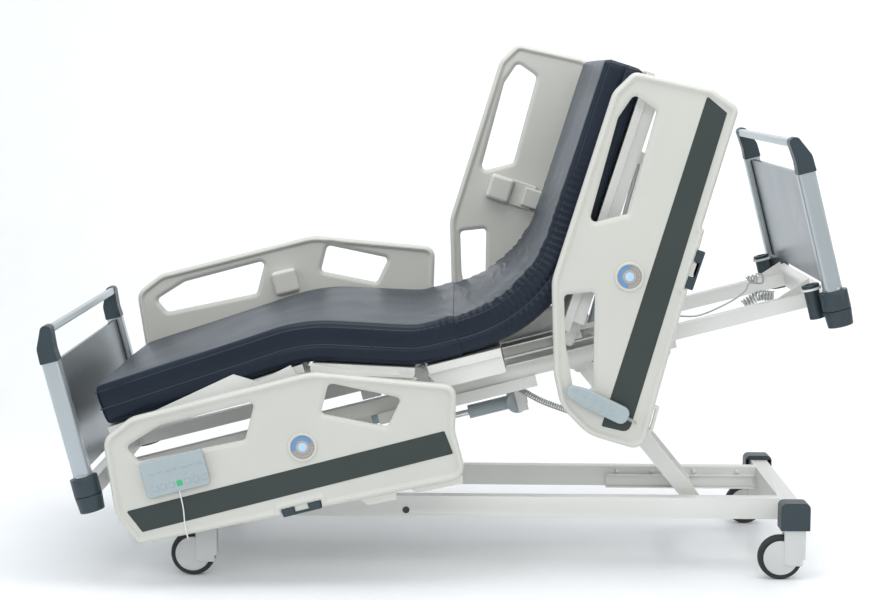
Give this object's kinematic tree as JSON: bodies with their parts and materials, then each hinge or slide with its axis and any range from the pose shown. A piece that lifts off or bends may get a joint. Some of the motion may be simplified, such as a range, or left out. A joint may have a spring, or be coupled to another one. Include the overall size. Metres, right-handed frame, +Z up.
{
  "type": "adjustable hospital bed",
  "caption": "Electrically adjustable hospital bed with tilting frame, jointed sleeping surface, swing-down side rails, lift-off end boards and castors.",
  "frame": {"origin": "on the floor under the middle of the bed's outline", "axes": "+X from the foot end to the head end, +Y to the patient's right, +Z up"},
  "size_m": [2.1928, 1.0447, 1.4931],
  "materials": {
    "base_frame": "satin powder coat",
    "roller_channels": "satin powder coat",
    "base_covers": "fine grain",
    "caster_fork_head_l": "satin",
    "caster_fork_head_r": "satin",
    "caster_fork_foot_l": "satin",
    "caster_fork_foot_r": "satin",
    "caster_wheel_head_l": "matte",
    "caster_wheel_head_r": "matte",
    "caster_wheel_foot_l": "matte",
    "caster_wheel_foot_r": "matte",
    "foot_lift_arms": "satin powder coat",
    "foot_lift_shaft": "satin",
    "head_lift_arms": "satin powder coat",
    "head_lift_shaft": "satin",
    "lift_rollers": "smooth",
    "upper_frame": "satin powder coat",
    "seat_panel": "fine grain",
    "corner_bumpers": "fine grain",
    "pole_sockets": "fine grain",
    "lift_actuators": "smooth",
    "head_lift_rod": "satin",
    "foot_lift_rod": "satin",
    "knee_actuator": "smooth",
    "knee_rod": "satin",
    "back_actuator": "smooth",
    "back_rod": "satin",
    "backrest_carriage": "satin powder coat",
    "back_frame": "satin powder coat",
    "back_panel": "fine grain",
    "thigh_panel": "fine grain",
    "calf_panel": "fine grain",
    "mattress_back": "coated stretch fabric",
    "mattress_seat": "coated stretch fabric",
    "mattress_thigh": "coated stretch fabric",
    "mattress_calf": "coated stretch fabric",
    "head_board_frame": "satin anodised",
    "head_board_grips": "fine grain",
    "head_board_panel": "metallic grey laminate",
    "foot_board_frame": "satin anodised",
    "foot_board_grips": "fine grain",
    "foot_board_panel": "metallic grey laminate",
    "head_rail_l": "fine grain",
    "head_rail_r": "fine grain",
    "foot_rail_l": "fine grain",
    "foot_rail_r": "fine grain",
    "head_rail_trim_l": "fine grain",
    "head_rail_trim_r": "fine grain",
    "foot_rail_trim_l": "fine grain",
    "foot_rail_trim_r": "fine grain",
    "head_rail_arm_l": "satin",
    "head_rail_arm_r": "satin",
    "foot_rail_arm_l": "satin",
    "foot_rail_arm_r": "satin",
    "head_rail_latch_l": "fine grain",
    "head_rail_latch_r": "fine grain",
    "foot_rail_latch_l": "fine grain",
    "foot_rail_latch_r": "fine grain",
    "handset": "smooth",
    "nurse_panel": "smooth"
  },
  "bodies": {
    "base": {"base_frame": "base_frame", "roller_channels": "roller_channels", "base_covers": "base_covers"},
    "caster_swivel_head_l": {"caster_fork_head_l": "caster_fork_head_l"},
    "caster_roll_head_l": {"caster_wheel_head_l": "caster_wheel_head_l"},
    "caster_swivel_head_r": {"caster_fork_head_r": "caster_fork_head_r"},
    "caster_roll_head_r": {"caster_wheel_head_r": "caster_wheel_head_r"},
    "caster_swivel_foot_l": {"caster_fork_foot_l": "caster_fork_foot_l"},
    "caster_roll_foot_l": {"caster_wheel_foot_l": "caster_wheel_foot_l"},
    "caster_swivel_foot_r": {"caster_fork_foot_r": "caster_fork_foot_r"},
    "caster_roll_foot_r": {"caster_wheel_foot_r": "caster_wheel_foot_r"},
    "foot_arms": {"foot_lift_arms": "foot_lift_arms"},
    "foot_shaft": {"foot_lift_shaft": "foot_lift_shaft"},
    "upper": {"upper_frame": "upper_frame", "seat_panel": "seat_panel", "corner_bumpers": "corner_bumpers", "pole_sockets": "pole_sockets", "mattress_seat": "mattress_seat", "lift_actuators": "lift_actuators", "knee_actuator": "knee_actuator"},
    "head_shaft": {"head_lift_shaft": "head_lift_shaft"},
    "head_arms": {"head_lift_arms": "head_lift_arms", "lift_rollers": "lift_rollers"},
    "head_lift_rod": {"head_lift_rod": "head_lift_rod"},
    "foot_lift_rod": {"foot_lift_rod": "foot_lift_rod"},
    "knee_rod": {"knee_rod": "knee_rod"},
    "carriage": {"backrest_carriage": "backrest_carriage"},
    "back": {"back_frame": "back_frame", "back_panel": "back_panel", "mattress_back": "mattress_back"},
    "back_actuator": {"back_actuator": "back_actuator"},
    "back_rod": {"back_rod": "back_rod"},
    "thigh": {"thigh_panel": "thigh_panel", "mattress_thigh": "mattress_thigh"},
    "calf": {"calf_panel": "calf_panel", "mattress_calf": "mattress_calf"},
    "head_board": {"head_board_frame": "head_board_frame", "head_board_grips": "head_board_grips", "head_board_panel": "head_board_panel"},
    "foot_board": {"foot_board_frame": "foot_board_frame", "foot_board_grips": "foot_board_grips", "foot_board_panel": "foot_board_panel"},
    "head_rail_arm_l": {"head_rail_arm_l": "head_rail_arm_l"},
    "head_rail_l": {"head_rail_l": "head_rail_l", "head_rail_trim_l": "head_rail_trim_l"},
    "head_rail_latch_l": {"head_rail_latch_l": "head_rail_latch_l"},
    "head_rail_arm_r": {"head_rail_arm_r": "head_rail_arm_r"},
    "head_rail_r": {"head_rail_r": "head_rail_r", "head_rail_trim_r": "head_rail_trim_r"},
    "head_rail_latch_r": {"head_rail_latch_r": "head_rail_latch_r"},
    "foot_rail_arm_l": {"foot_rail_arm_l": "foot_rail_arm_l"},
    "foot_rail_l": {"foot_rail_l": "foot_rail_l", "foot_rail_trim_l": "foot_rail_trim_l", "nurse_panel": "nurse_panel"},
    "foot_rail_latch_l": {"foot_rail_latch_l": "foot_rail_latch_l"},
    "foot_rail_arm_r": {"foot_rail_arm_r": "foot_rail_arm_r"},
    "foot_rail_r": {"foot_rail_r": "foot_rail_r", "foot_rail_trim_r": "foot_rail_trim_r"},
    "foot_rail_latch_r": {"foot_rail_latch_r": "foot_rail_latch_r"},
    "handset": {"handset": "handset"}
  },
  "joints": [
    {"name": "caster_swivel_head_l", "type": "hinge", "parent": "base", "child": "caster_swivel_head_l", "pos_m": [0.969, -0.333, 0.09], "axis": [0, 0, 1], "continuous": true},
    {"name": "caster_wheel_head_l", "type": "hinge", "parent": "caster_swivel_head_l", "child": "caster_roll_head_l", "pos_m": [0.932, -0.333, 0.0625], "axis": [0, 1, 0], "continuous": true},
    {"name": "caster_swivel_head_r", "type": "hinge", "parent": "base", "child": "caster_swivel_head_r", "pos_m": [0.969, 0.333, 0.09], "axis": [0, 0, 1], "continuous": true},
    {"name": "caster_wheel_head_r", "type": "hinge", "parent": "caster_swivel_head_r", "child": "caster_roll_head_r", "pos_m": [0.932, 0.333, 0.0625], "axis": [0, 1, 0], "continuous": true},
    {"name": "caster_swivel_foot_l", "type": "hinge", "parent": "base", "child": "caster_swivel_foot_l", "pos_m": [-0.674, -0.333, 0.09], "axis": [0, 0, 1], "continuous": true},
    {"name": "caster_wheel_foot_l", "type": "hinge", "parent": "caster_swivel_foot_l", "child": "caster_roll_foot_l", "pos_m": [-0.711, -0.333, 0.0625], "axis": [0, 1, 0], "continuous": true},
    {"name": "caster_swivel_foot_r", "type": "hinge", "parent": "base", "child": "caster_swivel_foot_r", "pos_m": [-0.674, 0.333, 0.09], "axis": [0, 0, 1], "continuous": true},
    {"name": "caster_wheel_foot_r", "type": "hinge", "parent": "caster_swivel_foot_r", "child": "caster_roll_foot_r", "pos_m": [-0.711, 0.333, 0.0625], "axis": [0, 1, 0], "continuous": true},
    {"name": "foot_lift", "type": "slide", "parent": "base", "child": "foot_shaft", "axis": [0.6639, 0, 0.7478], "range_m": [-0.01206, 0.06031], "stiffness_N_per_m": 100000, "springref_m": 0.01028},
    {"name": "foot_arm_turn", "type": "hinge", "parent": "base", "child": "foot_arms", "pos_m": [-0.229, 0, 0.172], "axis": [0, 1, 0], "range_deg": [-2.01, 10.01]},
    {"name": "frame_tilt", "type": "hinge", "parent": "foot_shaft", "child": "upper", "pos_m": [-0.50677, 0, 0.37829], "axis": [0, -1, 0], "range_deg": [-14.5, 1.5], "stiffness_Nm_per_rad": 20000, "springref_deg": 2.06},
    {"name": "head_shaft_turn", "type": "hinge", "parent": "upper", "child": "head_shaft", "pos_m": [0.36456, 0, 0.60364], "axis": [0, 1, 0], "range_deg": [-1.36, 6.76], "stiffness_Nm_per_rad": 40, "springref_deg": -13.32},
    {"name": "head_arm_turn", "type": "hinge", "parent": "head_shaft", "child": "head_arms", "pos_m": [0.36456, 0, 0.60364], "axis": [0, 1, 0], "range_deg": [-43.91, 4.59], "stiffness_Nm_per_rad": 40, "springref_deg": -13.32},
    {"name": "head_lift_rod_slide", "type": "slide", "parent": "upper", "child": "head_lift_rod", "axis": [-0.9681, 0, -0.2504], "range_m": [-0.04277, 0.00447]},
    {"name": "foot_lift_rod_slide", "type": "slide", "parent": "upper", "child": "foot_lift_rod", "axis": [-0.9681, 0, -0.2504], "range_m": [-0.00218, 0.01084]},
    {"name": "thigh_raise", "type": "hinge", "parent": "upper", "child": "thigh", "pos_m": [-0.07296, 0, 0.57002], "axis": [0, 1, 0], "range_deg": [-17, 13], "stiffness_Nm_per_rad": 2000, "springref_deg": 1.15},
    {"name": "calf_fold", "type": "hinge", "parent": "thigh", "child": "calf", "pos_m": [-0.37767, 0, 0.58332], "axis": [0, -1, 0], "range_deg": [-21.14, 16.17]},
    {"name": "knee_rod_slide", "type": "slide", "parent": "upper", "child": "knee_rod", "axis": [-0.9681, 0, -0.2504], "range_m": [-0.05796, 0.04435]},
    {"name": "carriage_slide", "type": "slide", "parent": "upper", "child": "carriage", "axis": [0.9681, 0, 0.2504], "range_m": [-0.12614, 0.00883]},
    {"name": "backrest", "type": "hinge", "parent": "carriage", "child": "back", "pos_m": [0.33076, 0, 0.67443], "axis": [0, -1, 0], "range_deg": [-58, 4], "stiffness_Nm_per_rad": 4000, "springref_deg": 0.59},
    {"name": "back_actuator_turn", "type": "hinge", "parent": "upper", "child": "back_actuator", "pos_m": [0.41989, 0, 0.62931], "axis": [0, -1, 0], "range_deg": [-61.77, 4.32]},
    {"name": "back_rod_slide", "type": "slide", "parent": "back_actuator", "child": "back_rod", "axis": [0.2504, 0, 0.9681], "range_m": [-0.21823, 0.01527]},
    {"name": "head_board_lift", "type": "slide", "parent": "upper", "child": "head_board", "axis": [-0.2504, 0, 0.9681], "range_m": [0, 0.15]},
    {"name": "foot_board_lift", "type": "slide", "parent": "upper", "child": "foot_board", "axis": [-0.2504, 0, 0.9681], "range_m": [0, 0.15]},
    {"name": "head_rail_swing_l", "type": "hinge", "parent": "back", "child": "head_rail_arm_l", "pos_m": [0.48856, -0.463, 0.93714], "axis": [-0.3007, 0, -0.9537], "range_deg": [0, 180]},
    {"name": "head_rail_level_l", "type": "hinge", "parent": "head_rail_arm_l", "child": "head_rail_l", "pos_m": [0.6278, -0.463, 0.89323], "axis": [-0.3007, 0, -0.9537], "range_deg": [-180.2, 0.2]},
    {"name": "head_rail_latch_l", "type": "slide", "parent": "head_rail_l", "child": "head_rail_latch_l", "axis": [-0.9537, 0, 0.3007], "range_m": [0, 0.008]},
    {"name": "head_rail_swing_r", "type": "hinge", "parent": "back", "child": "head_rail_arm_r", "pos_m": [0.48856, 0.463, 0.93714], "axis": [-0.3007, 0, -0.9537], "range_deg": [0, 180]},
    {"name": "head_rail_level_r", "type": "hinge", "parent": "head_rail_arm_r", "child": "head_rail_r", "pos_m": [0.34931, 0.463, 0.98104], "axis": [-0.3007, 0, -0.9537], "range_deg": [-180.2, 0.2]},
    {"name": "head_rail_latch_r", "type": "slide", "parent": "head_rail_r", "child": "head_rail_latch_r", "axis": [-0.9537, 0, 0.3007], "range_m": [0, 0.008]},
    {"name": "foot_rail_swing_l", "type": "hinge", "parent": "upper", "child": "foot_rail_arm_l", "pos_m": [-0.4376, -0.463, 0.40238], "axis": [-0.9681, 0, -0.2504], "range_deg": [0, 180]},
    {"name": "foot_rail_level_l", "type": "hinge", "parent": "foot_rail_arm_l", "child": "foot_rail_l", "pos_m": [-0.40105, -0.463, 0.26103], "axis": [-0.9681, 0, -0.2504], "range_deg": [-180.2, 0.2]},
    {"name": "foot_rail_latch_l", "type": "slide", "parent": "foot_rail_l", "child": "foot_rail_latch_l", "axis": [-0.2504, 0, 0.9681], "range_m": [0, 0.008]},
    {"name": "foot_rail_swing_r", "type": "hinge", "parent": "upper", "child": "foot_rail_arm_r", "pos_m": [-0.4376, 0.463, 0.40238], "axis": [-0.9681, 0, -0.2504], "range_deg": [0, 180]},
    {"name": "foot_rail_level_r", "type": "hinge", "parent": "foot_rail_arm_r", "child": "foot_rail_r", "pos_m": [-0.47416, 0.463, 0.54373], "axis": [-0.9681, 0, -0.2504], "range_deg": [-180.2, 0.2]},
    {"name": "foot_rail_latch_r", "type": "slide", "parent": "foot_rail_r", "child": "foot_rail_latch_r", "axis": [-0.2504, 0, 0.9681], "range_m": [0, 0.008]},
    {"name": "handset_unhook", "type": "slide", "parent": "head_rail_l", "child": "handset", "axis": [0, -1, 0], "range_m": [0, 0.06]}
  ],
  "couplings": [
    {"joint": "foot_arm_turn", "follows": "foot_lift", "rad_per_m": 2.8938},
    {"joint": "head_shaft_turn", "follows": "foot_lift", "rad_per_m": 1.9533},
    {"joint": "head_arm_turn", "follows": "frame_tilt", "ratio": 3.025},
    {"joint": "head_lift_rod_slide", "follows": "frame_tilt", "m_per_rad": 0.1688},
    {"joint": "foot_lift_rod_slide", "follows": "foot_lift", "ratio": 0.17942},
    {"joint": "calf_fold", "follows": "thigh_raise", "ratio": 1.2412},
    {"joint": "knee_rod_slide", "follows": "thigh_raise", "m_per_rad": 0.195},
    {"joint": "carriage_slide", "follows": "backrest", "m_per_rad": 0.12447},
    {"joint": "back_actuator_turn", "follows": "backrest", "ratio": 1.0638},
    {"joint": "back_rod_slide", "follows": "backrest", "m_per_rad": 0.21535},
    {"joint": "head_rail_level_l", "follows": "head_rail_swing_l", "ratio": -1},
    {"joint": "head_rail_level_r", "follows": "head_rail_swing_r", "ratio": -1},
    {"joint": "foot_rail_level_l", "follows": "foot_rail_swing_l", "ratio": -1},
    {"joint": "foot_rail_level_r", "follows": "foot_rail_swing_r", "ratio": -1}
  ]
}
